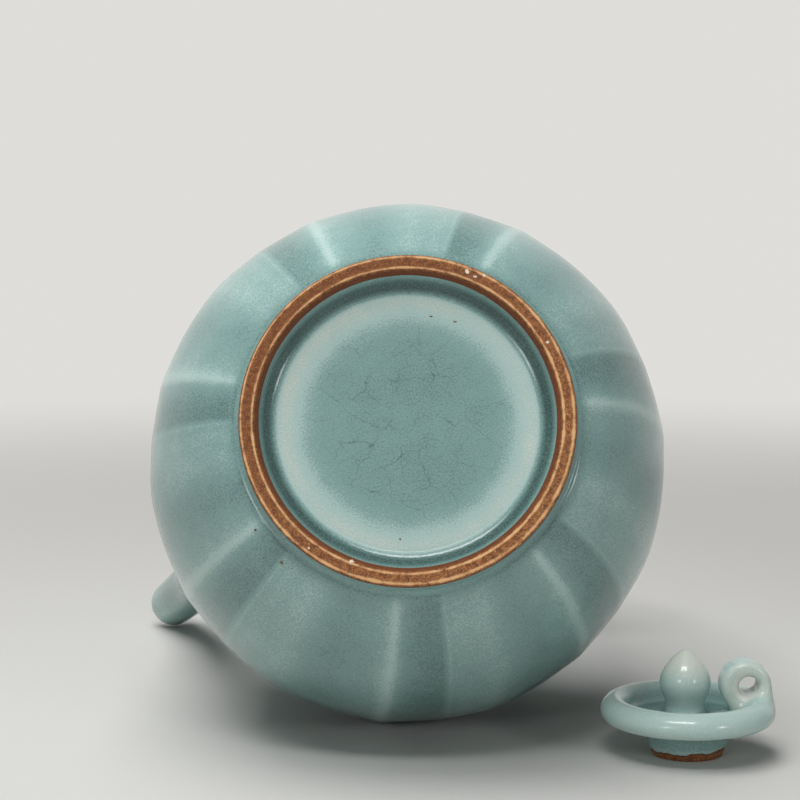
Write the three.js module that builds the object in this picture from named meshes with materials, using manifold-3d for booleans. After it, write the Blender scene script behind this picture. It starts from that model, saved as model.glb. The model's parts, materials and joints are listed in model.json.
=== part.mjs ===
// A gourd-shaped ewer that lies on its side on a table, with its lid standing beside it.
// Millimetres, +Z up, the table at z = 0. The ewer's foot faces -Y.
import * as THREE from 'three';
import { mergeVertices } from 'three/addons/utils/BufferGeometryUtils.js';
import Module from 'manifold-3d';

const wasm = await Module();
wasm.setup();

// Foot and lower bulb, in the ewer's own upright frame with the foot's face at z = 0
const footRadius = 47.5;
const footFaceWidth = 5.6;
const footHeight = 7;
const footChamfer = 0.7;
const footFillet = 5.3;
const footShoulder = 1.8;
const bellyRadius = 79.6;
const bellyHeight = 73;
const flankRun = 11;
const flankRise = 4;
const bellyFullness = 41;
const shoulderFullness = 72;
const waistRadius = 21;
const waistHeight = 152;
const waistSoftness = 17;

// Upper bulb, neck and mouth
const upperRadius = 38.5;
const upperHeight = 208;
const upperFullnessBelow = 38;
const upperFullnessAbove = 26;
const neckHeight = 242;
const neckSoftness = 9;
const neckWall = 3;
const mouthRise = 15;
const lipWidth = 5.4;
const lipThickness = 3.6;
const mouthChamfer = 0.75;

// Walls, and the gap that separately made pieces keep
const wall = 4.5;
const floorThickness = 5.5;
const seamGap = 0.3;

// Facets from the foot to the neck: seven lobes, each with four flat cuts between these edges
const lobeCount = 7;
const sharpGrooveDepth = 0.44;
const sharpRidgeHeight = 0.06;
const faintGrooveDepth = 0.2;
const softRidgeHeight = 0.43;
const facetAzimuth = 43;
const facetTwist = 3;

// Spout, on the side that turns down to the table; insets are from the belly's radius
const spoutRootHeight = 112;
const spoutRootInset = 21.6;
const spoutRootRadius = 15;
const spoutRootDepth = 21;
const spoutTipHeight = 233;
const spoutBowInset = 6.6;
const spoutBowLean = 3.2;
const spoutOverhang = 11.4;
const spoutTipRadius = 8.3;
const spoutTaper = 0.6;
const spoutWall = 3.2;

// Handle, opposite the spout; insets are from the belly's radius
const handleRootInset = 23.6;
const handleRootHeight = 122;
const handleEndRise = 14;
const handleInset = 2.6;
const handleFlareBelow = 18;
const handleFlareAbove = 24;
const handleWidth = 15.5;
const handleThickness = 7;

// Cord rings on the handle and on the lid
const ringRadius = 7.45;
const ringHoleRadius = 3;
const ringWidth = 9.6;
const ringHoleShift = 0.85;
const ringSink = 1.4;
const ringBluntness = 0.65;
const handleRingPlace = 0.76;

// Lid, in its own upright frame with the lower end of its plug at z = 0
const plugTopRadius = 12.9;
const plugEndRadius = 10.6;
const plugHeight = 8.6;
const plugChamfer = 0.8;
const lidClearance = 0.4;
const dishThickness = 3;
const rimRadius = 21.9;
const rimRollRadius = 3.7;
const rimRise = 4.6;
const rimSlope = 2.2;
const budRadius = 7.5;
const budFootRadius = 5.3;
const budHeight = 19.1;
const budMidHeight = 9.4;
const budFootSoftness = 4.4;
const budFullnessBelow = 3.4;
const budFullnessAbove = 4;
const budTipRadius = 2.6;
const budTipHeight = 0.4;
const budShift = -0.8;
const lidRingReach = 16.7;

// Where the lid stands, from the point of the table under the belly's middle
const lidRight = 82.7;
const lidFront = 43;

// How finely the round forms are divided
const sidesPerFacet = 2;
const curveSteps = 9;
const upperSteps = 7;
const insideSteps = 6;
const turnedSides = 40;
const tubeSides = 16;
const tubeSteps = 20;
const filletSteps = 4;
const lipSteps = 5;
const rimSteps = 14;
const budSteps = 7;
const ringSectionSides = 12;
const solveRounds = 50;
const restRounds = 6;

// Sizes that follow from the ones above
const edgeHeights = [-sharpGrooveDepth, sharpRidgeHeight, -faintGrooveDepth, softRidgeHeight];
const facetCount = lobeCount * edgeHeights.length;
const bulbSides = facetCount * sidesPerFacet;
const footHoleRadius = footRadius - footFaceWidth;
const footJoinRadius = footRadius + footShoulder;
const floorTop = footHeight + floorThickness;
const spoutRootReach = bellyRadius - spoutRootInset;
const spoutBow = bellyRadius - spoutBowInset;
const spoutReach = bellyRadius + spoutOverhang;
const handleRootReach = bellyRadius - handleRootInset;
const handleReach = bellyRadius - handleInset;
const handleEndHeight = upperHeight + handleEndRise;
const mouthHeight = neckHeight + mouthRise;
const mouthBore = plugTopRadius + lidClearance;
const neckRadius = mouthBore + neckWall;
const lipRadius = mouthBore + lipWidth;
const dishBottom = plugHeight + seamGap;
const dishTop = dishBottom + dishThickness;
const rimHeight = dishBottom + rimRise;

const point = (radius, height) => new THREE.Vector2(radius, height);
const radians = THREE.MathUtils.degToRad;

// Curve that leaves one radius upright and reaches another upright, as a gourd's side does
function sway(from, fromSoftness, to, toSoftness, steps) {
  const leaving = point(from.x, from.y + fromSoftness);
  const reaching = point(to.x, to.y - toSoftness);
  return new THREE.CubicBezierCurve(from, leaving, reaching, to).getPoints(steps);
}

// Curve that leaves the foot low and outward and reaches the belly upright
function flank(from, to, steps) {
  const leaving = point(from.x + flankRun, from.y + flankRise);
  const reaching = point(to.x, to.y - bellyFullness);
  return new THREE.CubicBezierCurve(from, leaving, reaching, to).getPoints(steps);
}

// Part of a circle in the profile plane, from one angle to another in degrees
function arc(centre, size, fromAngle, toAngle, steps) {
  const curve = new THREE.EllipseCurve(
    centre.x, centre.y, size, size, radians(fromAngle), radians(toAngle), toAngle < fromAngle,
  );
  return curve.getPoints(steps);
}

// Side moved outward by a distance, square to its own surface, or inward by a negative one
function movedOut(side, distance) {
  return side.map((here, i) => {
    const before = side[Math.max(i - 1, 0)];
    const after = side[Math.min(i + 1, side.length - 1)];
    const along = after.clone().sub(before).normalize();
    return point(here.x + along.y * distance, here.y - along.x * distance);
  });
}

// Form of revolution about Z, from a profile that starts and ends on the axis or closes on itself
function turned(profile, sides) {
  return new THREE.LatheGeometry(profile, sides).rotateX(Math.PI / 2);
}

// Share of the round radius at a place that is counted in facets from the first edge
function facetShare(place) {
  const index = Math.floor(place);
  const step = (2 * Math.PI) / facetCount;
  const angle = (place - index) * step;
  const before = 1 + edgeHeights[index % edgeHeights.length] / bellyRadius;
  const after = 1 + edgeHeights[(index + 1) % edgeHeights.length] / bellyRadius;
  return (before * after * Math.sin(step)) / (after * Math.sin(step - angle) + before * Math.sin(angle));
}

// Cuts the flat facets, which lean a little round the foot, into a round form
function faceted(geometry) {
  const position = geometry.attributes.position;
  for (let i = 0; i < position.count; i += 1) {
    const radius = Math.hypot(position.getX(i), position.getY(i));
    const z = position.getZ(i);
    const seamAngle = Math.atan2(position.getX(i), -position.getY(i)) + 2 * Math.PI;
    const place = Math.round((seamAngle / (2 * Math.PI)) * bulbSides) / sidesPerFacet;
    const climb = Math.min(z / bellyHeight, 1);
    const angle = (place / facetCount) * 2 * Math.PI + radians(facetAzimuth + facetTwist * climb);
    const size = radius * facetShare(place % facetCount);
    position.setXYZ(i, size * Math.cos(angle), size * Math.sin(angle), z);
  }
  return geometry;
}

// Sweep along a flat curve in the XZ plane: each ring is an oval that is wide along Y
function loft(curve, halfWidthAt, halfThicknessAt, steps, sides) {
  const positions = [];
  const indices = [];
  for (let i = 0; i <= steps; i += 1) {
    const centre = curve.getPointAt(i / steps);
    const along = curve.getTangentAt(i / steps);
    for (let j = 0; j < sides; j += 1) {
      const angle = (j / sides) * 2 * Math.PI;
      const across = Math.cos(angle) * halfWidthAt(i / steps);
      const outward = Math.sin(angle) * halfThicknessAt(i / steps);
      positions.push(centre.x + along.y * outward, across, centre.y - along.x * outward);
    }
  }
  for (let i = 0; i < steps; i += 1) {
    for (let j = 0; j < sides; j += 1) {
      const a = i * sides + j;
      const b = i * sides + ((j + 1) % sides);
      indices.push(a, a + sides, b, b, a + sides, b + sides);
    }
  }
  const last = steps * sides;
  for (let j = 1; j < sides - 1; j += 1) {
    indices.push(0, j, j + 1);
    indices.push(last, last + j + 1, last + j);
  }
  const geometry = new THREE.BufferGeometry();
  geometry.setAttribute('position', new THREE.Float32BufferAttribute(positions, 3));
  geometry.setIndex(indices);
  return geometry;
}

// Closed mesh to solid, with its faces turned outward
function solidOf(geometry) {
  const bare = geometry.clone();
  bare.deleteAttribute('normal');
  bare.deleteAttribute('uv');
  const merged = mergeVertices(bare, 1e-4);
  const position = merged.attributes.position;
  const index = merged.index.array;
  const corner = [new THREE.Vector3(), new THREE.Vector3(), new THREE.Vector3()];
  const faces = [];
  let volume = 0;
  for (let i = 0; i < index.length; i += 3) {
    const face = [index[i], index[i + 1], index[i + 2]];
    if (new Set(face).size === 3) {
      face.forEach((vertex, k) => corner[k].fromBufferAttribute(position, vertex));
      volume += corner[0].dot(corner[1].clone().cross(corner[2]));
      faces.push(face);
    }
  }
  const outward = volume > 0 ? faces : faces.map(([a, b, c]) => [a, c, b]);
  const mesh = new wasm.Mesh({
    numProp: 3,
    vertProperties: new Float32Array(position.array),
    triVerts: new Uint32Array(outward.flat()),
  });
  return new wasm.Manifold(mesh);
}

// Solid back to a geometry that a mesh can hold
function geometryOf(solid) {
  const mesh = solid.getMesh();
  const geometry = new THREE.BufferGeometry();
  geometry.setAttribute('position', new THREE.BufferAttribute(new Float32Array(mesh.vertProperties), 3));
  geometry.setIndex(new THREE.BufferAttribute(new Uint32Array(mesh.triVerts), 1));
  geometry.computeVertexNormals();
  return geometry;
}

// Places on the ewer's profile where one curve hands over to the next
const footJoin = point(footJoinRadius, footHeight);
const belly = point(bellyRadius, bellyHeight);
const waist = point(waistRadius, waistHeight);
const upperBelly = point(upperRadius, upperHeight);
const neck = point(neckRadius, neckHeight);

const lowerSide = [
  ...flank(footJoin, belly, curveSteps),
  ...sway(belly, shoulderFullness, waist, waistSoftness, curveSteps).slice(1),
];
const upperSide = [
  ...sway(waist, waistSoftness, upperBelly, upperFullnessBelow, upperSteps),
  ...sway(upperBelly, upperFullnessAbove, neck, neckSoftness, upperSteps).slice(1),
];

// Solid faceted body inside a side, from its lowest to its highest point
function bulbBody(side) {
  const profile = [point(0, side[0].y), ...side, point(0, side.at(-1).y)];
  return solidOf(faceted(turned(profile, bulbSides)));
}

// Side with its ends drawn back along the axis, each by half of the gap at a seam
function seamed(side, atStart, atEnd) {
  const drawn = side.map((p) => p.clone());
  drawn[0].y += atStart ? seamGap / 2 : 0;
  drawn.at(-1).y -= atEnd ? seamGap / 2 : 0;
  return drawn;
}

// Hollow of the whole vessel, from the floor up and out through the mouth
function hollow() {
  const floorEdge = point(footJoinRadius - wall, floorTop);
  const bellyInside = point(bellyRadius - wall, bellyHeight);
  const shoulder = sway(belly, shoulderFullness, waist, waistSoftness, insideSteps + 1);
  const throat = movedOut(upperSide, -wall).slice(1, -1);
  const profile = [
    point(0, floorTop),
    ...flank(floorEdge, bellyInside, insideSteps),
    ...movedOut(shoulder, -wall).slice(1),
    ...throat,
    point(mouthBore, neckHeight - neckSoftness / 2),
    point(mouthBore, mouthHeight + wall),
    point(0, mouthHeight + wall),
  ];
  return solidOf(turned(profile, bulbSides));
}

// Line of the spout: out of the shoulder, up beside the waist and out again at its tip
const spoutRise = spoutTipHeight - spoutRootHeight;
const spoutLine = new THREE.SplineCurve([
  point(spoutRootReach - spoutRootDepth, spoutRootHeight - spoutRootDepth),
  point(spoutRootReach, spoutRootHeight),
  point(spoutBow - spoutBowLean, spoutRootHeight + spoutRise * 0.3),
  point(spoutBow + spoutBowLean, spoutRootHeight + spoutRise * 0.65),
  point(spoutReach, spoutTipHeight),
]);
const spoutRadiusAt = (share) => spoutRootRadius + (spoutTipRadius - spoutRootRadius) * share ** spoutTaper;
const spoutBoreAt = (share) => spoutRadiusAt(share) - spoutWall;

// Line of the handle: out of the shoulder, up, and over into the upper bulb. Its bow makes the
// middle of the curve, where the ends weigh 1/8 each and the bow 6/8, reach as far as it should.
const handleEndReach = upperRadius - wall;
const handleBow = (8 * handleReach - handleRootReach - handleEndReach) / 6;
const handleLine = new THREE.CubicBezierCurve(
  point(handleRootReach, handleRootHeight),
  point(handleBow, handleRootHeight + handleFlareBelow),
  point(handleBow, handleEndHeight + handleFlareAbove),
  point(handleEndReach, handleEndHeight),
);
const handleHalfWidth = () => handleWidth / 2;
const handleHalfThickness = () => handleThickness / 2;

// Everything that the spout and the handle stand on, grown by the gap that they keep
const seat = bulbBody(movedOut(lowerSide, seamGap)).add(bulbBody(movedOut(upperSide, seamGap)));

function spoutBore() {
  const { points } = spoutLine;
  const past = points.at(-1).clone().sub(points.at(-2)).normalize().multiplyScalar(spoutTipRadius);
  const longer = new THREE.SplineCurve([...points, points.at(-1).clone().add(past)]);
  return solidOf(loft(longer, spoutBoreAt, spoutBoreAt, tubeSteps, tubeSides).rotateZ(Math.PI));
}

function spout() {
  const outside = loft(spoutLine, spoutRadiusAt, spoutRadiusAt, tubeSteps, tubeSides).rotateZ(Math.PI);
  return solidOf(outside).subtract(seat).subtract(spoutBore());
}

function handle() {
  return solidOf(loft(handleLine, handleHalfWidth, handleHalfThickness, tubeSteps, tubeSides)).subtract(seat);
}

function footRing() {
  const top = footHeight - seamGap;
  const filletCentre = point(footHoleRadius - footFillet, top - footFillet);
  const profile = [
    point(footHoleRadius + footChamfer, 0),
    point(footRadius - footChamfer, 0),
    point(footRadius, footChamfer),
    point(footRadius, top),
    ...arc(filletCentre, footFillet, 90, 0, filletSteps),
    point(footHoleRadius, footChamfer),
    point(footHoleRadius + footChamfer, 0),
  ];
  return solidOf(turned(profile, bulbSides));
}

function mouthNeck() {
  const bottom = neckHeight + seamGap / 2;
  const lipCentre = point(lipRadius - lipThickness / 2, mouthHeight - lipThickness / 2);
  const profile = [
    point(mouthBore, bottom),
    point(neckRadius, bottom),
    point(neckRadius, neckHeight + neckSoftness / 2),
    ...arc(lipCentre, lipThickness / 2, -60, 90, lipSteps),
    point(mouthBore + mouthChamfer, mouthHeight),
    point(mouthBore, mouthHeight - mouthChamfer),
    point(mouthBore, bottom),
  ];
  return solidOf(turned(profile, turnedSides));
}

// Cord ring with its hole along Y, set off centre as a hand-rolled ring is
function cordRing() {
  const middle = (ringRadius + ringHoleRadius) / 2;
  const half = (ringRadius - ringHoleRadius) / 2;
  const circle = new THREE.EllipseCurve(0, 0, 1, 1).getPoints(ringSectionSides);
  const blunt = (share) => Math.sign(share) * Math.abs(share) ** ringBluntness;
  const section = circle.map((p) => point(middle + half * blunt(p.x), (ringWidth / 2) * blunt(p.y)));
  const geometry = turned(section, tubeSteps).rotateX(Math.PI / 2);
  const position = geometry.attributes.position;
  for (let i = 0; i < position.count; i += 1) {
    const radius = Math.hypot(position.getX(i), position.getZ(i));
    const nearHole = (ringRadius - radius) / (ringRadius - ringHoleRadius);
    position.setX(i, position.getX(i) + ringHoleShift * nearHole);
  }
  return geometry;
}

function handleLoop() {
  const at = handleLine.getPointAt(handleRingPlace);
  const along = handleLine.getTangentAt(handleRingPlace);
  const off = handleThickness / 2 + ringRadius - ringSink;
  const ring = solidOf(cordRing().translate(at.x + along.y * off, 0, at.y - along.x * off));
  const grownWidth = () => handleWidth / 2 + seamGap;
  const grownThickness = () => handleThickness / 2 + seamGap;
  return ring.subtract(solidOf(loft(handleLine, grownWidth, grownThickness, tubeSteps, tubeSides)));
}

function lidPlug() {
  const profile = [
    point(0, 0),
    point(plugEndRadius - plugChamfer, 0),
    point(plugEndRadius, plugChamfer),
    point(plugTopRadius, plugHeight),
    point(0, plugHeight),
  ];
  return solidOf(turned(profile, turnedSides));
}

// Disc with a rolled rim; the grown one is what stands on it, cut back by the gap
function lidDish(grow) {
  const rollInside = rimRadius - rimRollRadius;
  const profile = [
    point(0, dishBottom - grow),
    point(rollInside, dishBottom - grow),
    ...arc(point(rimRadius, rimHeight), rimRollRadius + grow, -100, 200, rimSteps),
    point(rollInside - rimSlope, dishTop + grow),
    point(0, dishTop + grow),
  ];
  return solidOf(turned(profile, turnedSides));
}

function lidBud() {
  const foot = dishTop + seamGap;
  const middle = point(budRadius, foot + budMidHeight);
  const tip = point(0, foot + budHeight);
  const upward = point(budRadius, middle.y + budFullnessAbove);
  const inward = point(budTipRadius, tip.y - budTipHeight);
  const profile = [
    point(0, foot),
    ...sway(point(budFootRadius, foot), budFootSoftness, middle, budFullnessBelow, budSteps),
    ...new THREE.CubicBezierCurve(middle, upward, inward, tip).getPoints(budSteps).slice(1),
  ];
  return solidOf(turned(profile, turnedSides).translate(budShift, 0, 0));
}

function lidLoop() {
  const height = dishTop + ringRadius + ringSink;
  return solidOf(cordRing().translate(lidRingReach, 0, height)).subtract(lidDish(seamGap));
}

const celadon = { color: 0x86aaa5, roughness: 0.22, metalness: 0 };
const paleCeladon = { color: 0x93b4ae, roughness: 0.22, metalness: 0 };
const brownClay = { color: 0x7a4a2c, roughness: 0.85, metalness: 0 };

function piece(name, solid, look) {
  const mesh = new THREE.Mesh(geometryOf(solid), new THREE.MeshStandardMaterial(look));
  mesh.name = name;
  return mesh;
}

const lowerBulb = bulbBody(seamed(lowerSide, false, true)).subtract(hollow()).subtract(spoutBore());
const upperBulb = bulbBody(seamed(upperSide, true, true)).subtract(hollow());

const ewer = new THREE.Group();
ewer.add(piece('foot_ring', footRing(), brownClay));
ewer.add(piece('lower_bulb', lowerBulb, celadon));
ewer.add(piece('upper_bulb', upperBulb, celadon));
ewer.add(piece('mouth_neck', mouthNeck(), celadon));
ewer.add(piece('spout', spout(), celadon));
ewer.add(piece('handle', handle(), celadon));
ewer.add(piece('handle_loop', handleLoop(), paleCeladon));

const lid = new THREE.Group();
lid.add(piece('lid_plug', lidPlug(), paleCeladon));
lid.add(piece('lid_dish', lidDish(0), paleCeladon));
lid.add(piece('lid_bud', lidBud(), paleCeladon));
lid.add(piece('lid_loop', lidLoop(), paleCeladon));

// How far a piece of the ewer hangs below the axis line through the foot, for a roll and a tilt
function hang(name, roll, tilt) {
  const position = ewer.getObjectByName(name).geometry.attributes.position;
  let deepest = -Infinity;
  for (let i = 0; i < position.count; i += 1) {
    const down = position.getX(i) * Math.sin(roll) + position.getY(i) * Math.cos(roll);
    deepest = Math.max(deepest, down * Math.cos(tilt) + position.getZ(i) * Math.sin(tilt));
  }
  return deepest;
}

// Place between two limits where a rising rule passes zero
function solve(rule, low, high) {
  let from = low;
  let to = high;
  for (let i = 0; i < solveRounds; i += 1) {
    const middle = (from + to) / 2;
    if (rule(middle) < 0) from = middle;
    else to = middle;
  }
  return (from + to) / 2;
}

// The ewer tips until both bulbs touch the table, and rolls until the spout does
let roll = 0;
let tilt = 0;
for (let round = 0; round < restRounds; round += 1) {
  tilt = solve((t) => hang('upper_bulb', roll, t) - hang('lower_bulb', roll, t), 0, radians(60));
  roll = -solve((r) => hang('spout', -r, tilt) - hang('lower_bulb', -r, tilt), 0, radians(90));
}
ewer.rotation.z = roll;
const lying = new THREE.Group();
lying.rotation.x = -Math.PI / 2 - tilt;
lying.position.z = hang('lower_bulb', roll, tilt);
lying.add(ewer);
lid.position.set(lidRight, bellyHeight * Math.cos(tilt) - lidFront, 0);

// The origin is on the table, under the middle of the whole arrangement
const model = new THREE.Group();
model.add(lying, lid);
model.updateMatrixWorld(true);
const extent = new THREE.Box3().setFromObject(model, true);
const middle = extent.getCenter(new THREE.Vector3());
model.position.set(-middle.x, -middle.y, -extent.min.z);

export default model;
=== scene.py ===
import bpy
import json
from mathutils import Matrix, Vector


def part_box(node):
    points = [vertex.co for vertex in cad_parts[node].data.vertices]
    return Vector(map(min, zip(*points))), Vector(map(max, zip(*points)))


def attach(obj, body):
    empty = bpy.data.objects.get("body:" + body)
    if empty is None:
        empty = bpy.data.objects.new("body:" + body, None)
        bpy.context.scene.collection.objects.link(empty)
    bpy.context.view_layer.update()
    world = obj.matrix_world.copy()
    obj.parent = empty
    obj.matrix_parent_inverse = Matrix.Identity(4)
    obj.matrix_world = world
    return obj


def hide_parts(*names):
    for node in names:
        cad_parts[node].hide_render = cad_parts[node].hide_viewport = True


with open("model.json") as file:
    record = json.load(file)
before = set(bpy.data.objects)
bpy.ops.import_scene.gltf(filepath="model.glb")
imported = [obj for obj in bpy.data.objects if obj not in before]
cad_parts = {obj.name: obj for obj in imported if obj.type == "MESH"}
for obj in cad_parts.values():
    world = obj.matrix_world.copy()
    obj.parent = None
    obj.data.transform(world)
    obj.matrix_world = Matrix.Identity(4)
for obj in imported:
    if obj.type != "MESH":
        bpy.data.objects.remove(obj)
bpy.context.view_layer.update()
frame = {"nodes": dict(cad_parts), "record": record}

import json
import math

import bmesh
import bpy
import numpy as np
from mathutils import Vector

MM = 0.001

# Edges of a mesh that turn by more than this many degrees are shaded as sharp
SHARP_ANGLE = 50

# Foot and lower bulb
FOOT_RADIUS = 47.5
FOOT_HOLE_RADIUS = 41.9
FOOT_HEIGHT = 7.0
FOOT_CHAMFER = 0.7
FOOT_BEVEL = 1.5
FOOT_FILLET = 5.3
FOOT_JOIN = 1.8
FOOT_COLUMNS = 720
FOOT_HIDDEN = 0.3
FACE_SLANT_AZIMUTH = 52
WORN_AZIMUTH = 60
BELLY_RADIUS = 79.38
BELLY_HEIGHT = 73.0
FLANK_RUN = 11.0
FLANK_RISE = 4.0
BELLY_FULLNESS = 41.0
SHOULDER_FULLNESS = 72.0
WAIST_RADIUS = 21.0
WAIST_HEIGHT = 152.0
WAIST_SOFTNESS = 17.0
WALL = 4.5
FLOOR_TOP = 12.5

# Upper bulb, neck and mouth
UPPER_RADIUS = 38.5
UPPER_HEIGHT = 208.0
UPPER_FULLNESS_BELOW = 38.0
UPPER_FULLNESS_ABOVE = 26.0
NECK_RADIUS = 16.3
NECK_HEIGHT = 242.0
NECK_SOFTNESS = 9.0
MOUTH_BORE = 13.3
MOUTH_HEIGHT = 257.0
LIP_RADIUS = 18.7
LIP_THICKNESS = 3.6
MOUTH_COLUMNS = 160

# Cut facets: seven lobes, each with a sharp groove, a sharp ridge, a faint groove and a soft ridge
LOBES = 7
EDGE_HEIGHTS = (-0.44, 0.06, -0.2, 0.43)
EDGES = LOBES * len(EDGE_HEIGHTS)
FACET_AZIMUTH = 43.0
FACET_TWIST = 3.0
GROOVE_SHIFTS = (4.6, 0.4, 1.8, -0.9, -1.3, -2.5, 1.3)
RIDGE_SHIFTS = (5.1, 1.3, 2.2, -0.9, -0.9, -2.2, 3.5)
COLUMNS_PER_EDGE = 14
COLUMNS = EDGES * COLUMNS_PER_EDGE
COLUMN_PLACES = np.arange(COLUMNS) / COLUMNS_PER_EDGE
SHARP_BLUR = 1.2
SOFT_BLUR = 4.5
FACETS_FADE = (226.0, 241.0)

# Spout and handle, in the plane of the ewer's axis
SPOUT_ROOT = (58.0, 112.0)
SPOUT_ROOT_DEPTH = 21.0
SPOUT_ROOT_RADIUS = 15.0
SPOUT_TIP = (91.0, 233.0)
SPOUT_BOW = 73.0
SPOUT_BOW_LEAN = 3.2
SPOUT_TIP_RADIUS = 8.25
SPOUT_TAPER = 0.6
SPOUT_WALL = 3.2
SPOUT_TIP_EDGE = 2.0
SPOUT_BORE_EDGE = 1.6
SPOUT_SUNK = 1.2
HANDLE_ROOT = (56.0, 122.0)
HANDLE_END = (34.0, 222.0)
HANDLE_REACH = 77.0
HANDLE_FLARE_BELOW = 18.0
HANDLE_FLARE_ABOVE = 24.0
HANDLE_WIDTH = 15.5
HANDLE_THICKNESS = 7.0
HANDLE_RING_PLACE = 0.76
CURVE_SAMPLES = 240

# Cord rings
RING_RADIUS = 7.45
RING_HOLE_RADIUS = 3.0
RING_WIDTH = 9.6
RING_HOLE_SHIFT = 0.85
RING_SINK = 1.4
RING_EDGE = 1.9

# Lid
PLUG_TOP_RADIUS = 12.9
PLUG_END_RADIUS = 10.6
PLUG_HEIGHT = 8.6
PLUG_COLUMNS = 260
DISH_BOTTOM = 8.9
DISH_TOP = 11.9
RIM_RADIUS = 21.9
RIM_ROLL_RADIUS = 3.7
RIM_HEIGHT = 13.5
RIM_LIP = (-0.45, 0.35, 3.35)
RIM_EDGE = (0.85, -1.0, 2.7)
RIM_UNEVEN_RADIUS = 0.15
RIM_UNEVEN_HEIGHT = 0.16
BUD_RADIUS = 7.5
BUD_FOOT_RADIUS = 5.3
BUD_FOOT_HEIGHT = 12.2
BUD_FOOT_SOFTNESS = 4.4
BUD_MID_HEIGHT = 21.6
BUD_FULLNESS_BELOW = 3.4
BUD_FULLNESS_ABOVE = 4.0
BUD_TIP_RADIUS = 2.6
BUD_TIP_DROP = 0.4
BUD_TIP_HEIGHT = 31.3
BUD_SHIFT = -0.8
LID_RING_REACH = 16.7
LID_PALENESS = -0.85
STREAK_AZIMUTH = -155

# How wide the luted clay flows out round each join
SPOUT_FLOW = 13.0
HANDLE_FLOW = 11.0
RING_FLOW = 5.5
BUD_FLOW = 3.2
SKIN = 0.03

# Cells of the grids that the luted pieces and the dish are made on, and where two of the grids lie
STRAP_CELL = 0.75
DISH_CELL = 0.42
RING_CELL = 0.34
BUD_CELL = 0.32
SPOUT_REGION = ((-103, -34, 80), (-26, 34, 246))
HANDLE_REGION = ((10, -22, 96), (84, 22, 250))


def mix(a, b, share):
    return a + (b - a) * share


def smooth_step(low, high, value):
    share = np.clip((value - low) / (high - low), 0, 1)
    return share * share * (3 - 2 * share)


def hump(value, width):
    """Bell shape: one at nought, and fading out on both sides."""
    return np.exp(-((value / width) ** 2))


def joined(a, b, flow):
    """Union of two fields, with a fillet where they meet."""
    share = np.clip(flow - np.abs(a - b), 0, None) / flow
    return np.minimum(a, b) - share * share * flow / 4


def kept(a, b, flow):
    """What two fields share, with its edge rounded."""
    return -joined(-a, -b, flow)


def flowing(piece, carrier, flow):
    """Piece whose clay flows out onto its carrier, as far as the flow is wide."""
    return np.maximum(joined(piece, carrier + SKIN, flow), piece - flow)


def luted(piece, carrier, flow, sunk):
    """Flowing piece, cut off a little under its carrier's surface."""
    return np.maximum(flowing(piece, carrier, flow), -(carrier + sunk))


def bezier(a, b, c, d, steps):
    t = np.linspace(0, 1, steps + 1)[:, None]
    a, b, c, d = (np.array(p, float) for p in (a, b, c, d))
    return a * (1 - t) ** 3 + 3 * b * t * (1 - t) ** 2 + 3 * c * t * t * (1 - t) + d * t ** 3


def sway(start, start_softness, end, end_softness, steps):
    leaving = (start[0], start[1] + start_softness)
    reaching = (end[0], end[1] - end_softness)
    return bezier(start, leaving, reaching, end, steps)


def arc(centre, size, from_angle, to_angle, steps):
    angle = np.radians(np.linspace(from_angle, to_angle, steps + 1))
    return np.stack([centre[0] + size * np.cos(angle), centre[1] + size * np.sin(angle)], 1)


def straight(start, end, steps):
    return np.linspace(start, end, steps + 1)


def centroid(node):
    """Centre of a CAD node's volume."""
    mesh = frame["nodes"][node].data
    mesh.calc_loop_triangles()
    corners = np.array([[mesh.vertices[v].co for v in t.vertices] for t in mesh.loop_triangles])
    volumes = np.einsum("ij,ij->i", corners[:, 0], np.cross(corners[:, 1], corners[:, 2]))
    return Vector((corners.sum(1) / 4 * volumes[:, None]).sum(0) / volumes.sum())


def ewer_frame():
    """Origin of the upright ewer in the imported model's frame, in millimetres, and its axes as rows."""
    face = next(m for m in frame["record"]["mounts"] if m["name"] == "foot_face")
    upward = -Vector(face["axis"]).normalized()
    low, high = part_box("foot_ring")
    centre = Vector(((low.x + high.x) / 2, face["pos_m"][1], face["pos_m"][2]))
    aside = centroid("handle_loop") - centre
    outward = (aside - upward * aside.dot(upward)).normalized()
    across = upward.cross(outward)
    return np.array(centre) / MM, np.array([outward, across, upward])


def lid_frame():
    """The same for the lid, which stands upright."""
    face = next(m for m in frame["record"]["mounts"] if m["name"] == "lid_plug_end")
    return np.array(face["pos_m"]) / MM, np.eye(3)


EWER = ewer_frame()
LID = lid_frame()


# Meshes

def add_attributes(mesh, own, values):
    """Gives each point its place in the upright frame, for the materials, and further values."""
    place = mesh.attributes.new("own", "FLOAT_VECTOR", "POINT")
    place.data.foreach_set("vector", own.astype(np.float32).ravel())
    for name, value in values.items():
        attribute = mesh.attributes.new(name, "FLOAT", "POINT")
        attribute.data.foreach_set("value", np.broadcast_to(value, len(own)).astype(np.float32))


def make_piece(name, own, faces, where, values, material, slot, body, *nodes):
    """Makes a mesh from points in a local frame and puts it in place of its CAD nodes."""
    origin, axes = where
    mesh = bpy.data.meshes.new(name)
    mesh.from_pydata(((own @ axes + origin) * MM).tolist(), [], faces)
    add_attributes(mesh, own, values)
    work = bmesh.new()
    work.from_mesh(mesh)
    bmesh.ops.recalc_face_normals(work, faces=work.faces)
    work.to_mesh(mesh)
    work.free()
    mesh.shade_smooth()
    mesh.set_sharp_from_angle(angle=math.radians(SHARP_ANGLE))
    mesh.materials.append(material)
    piece = bpy.data.objects.new(name, mesh)
    bpy.context.scene.collection.objects.link(piece)
    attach(piece, body)
    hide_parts(*nodes)
    return piece


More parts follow.
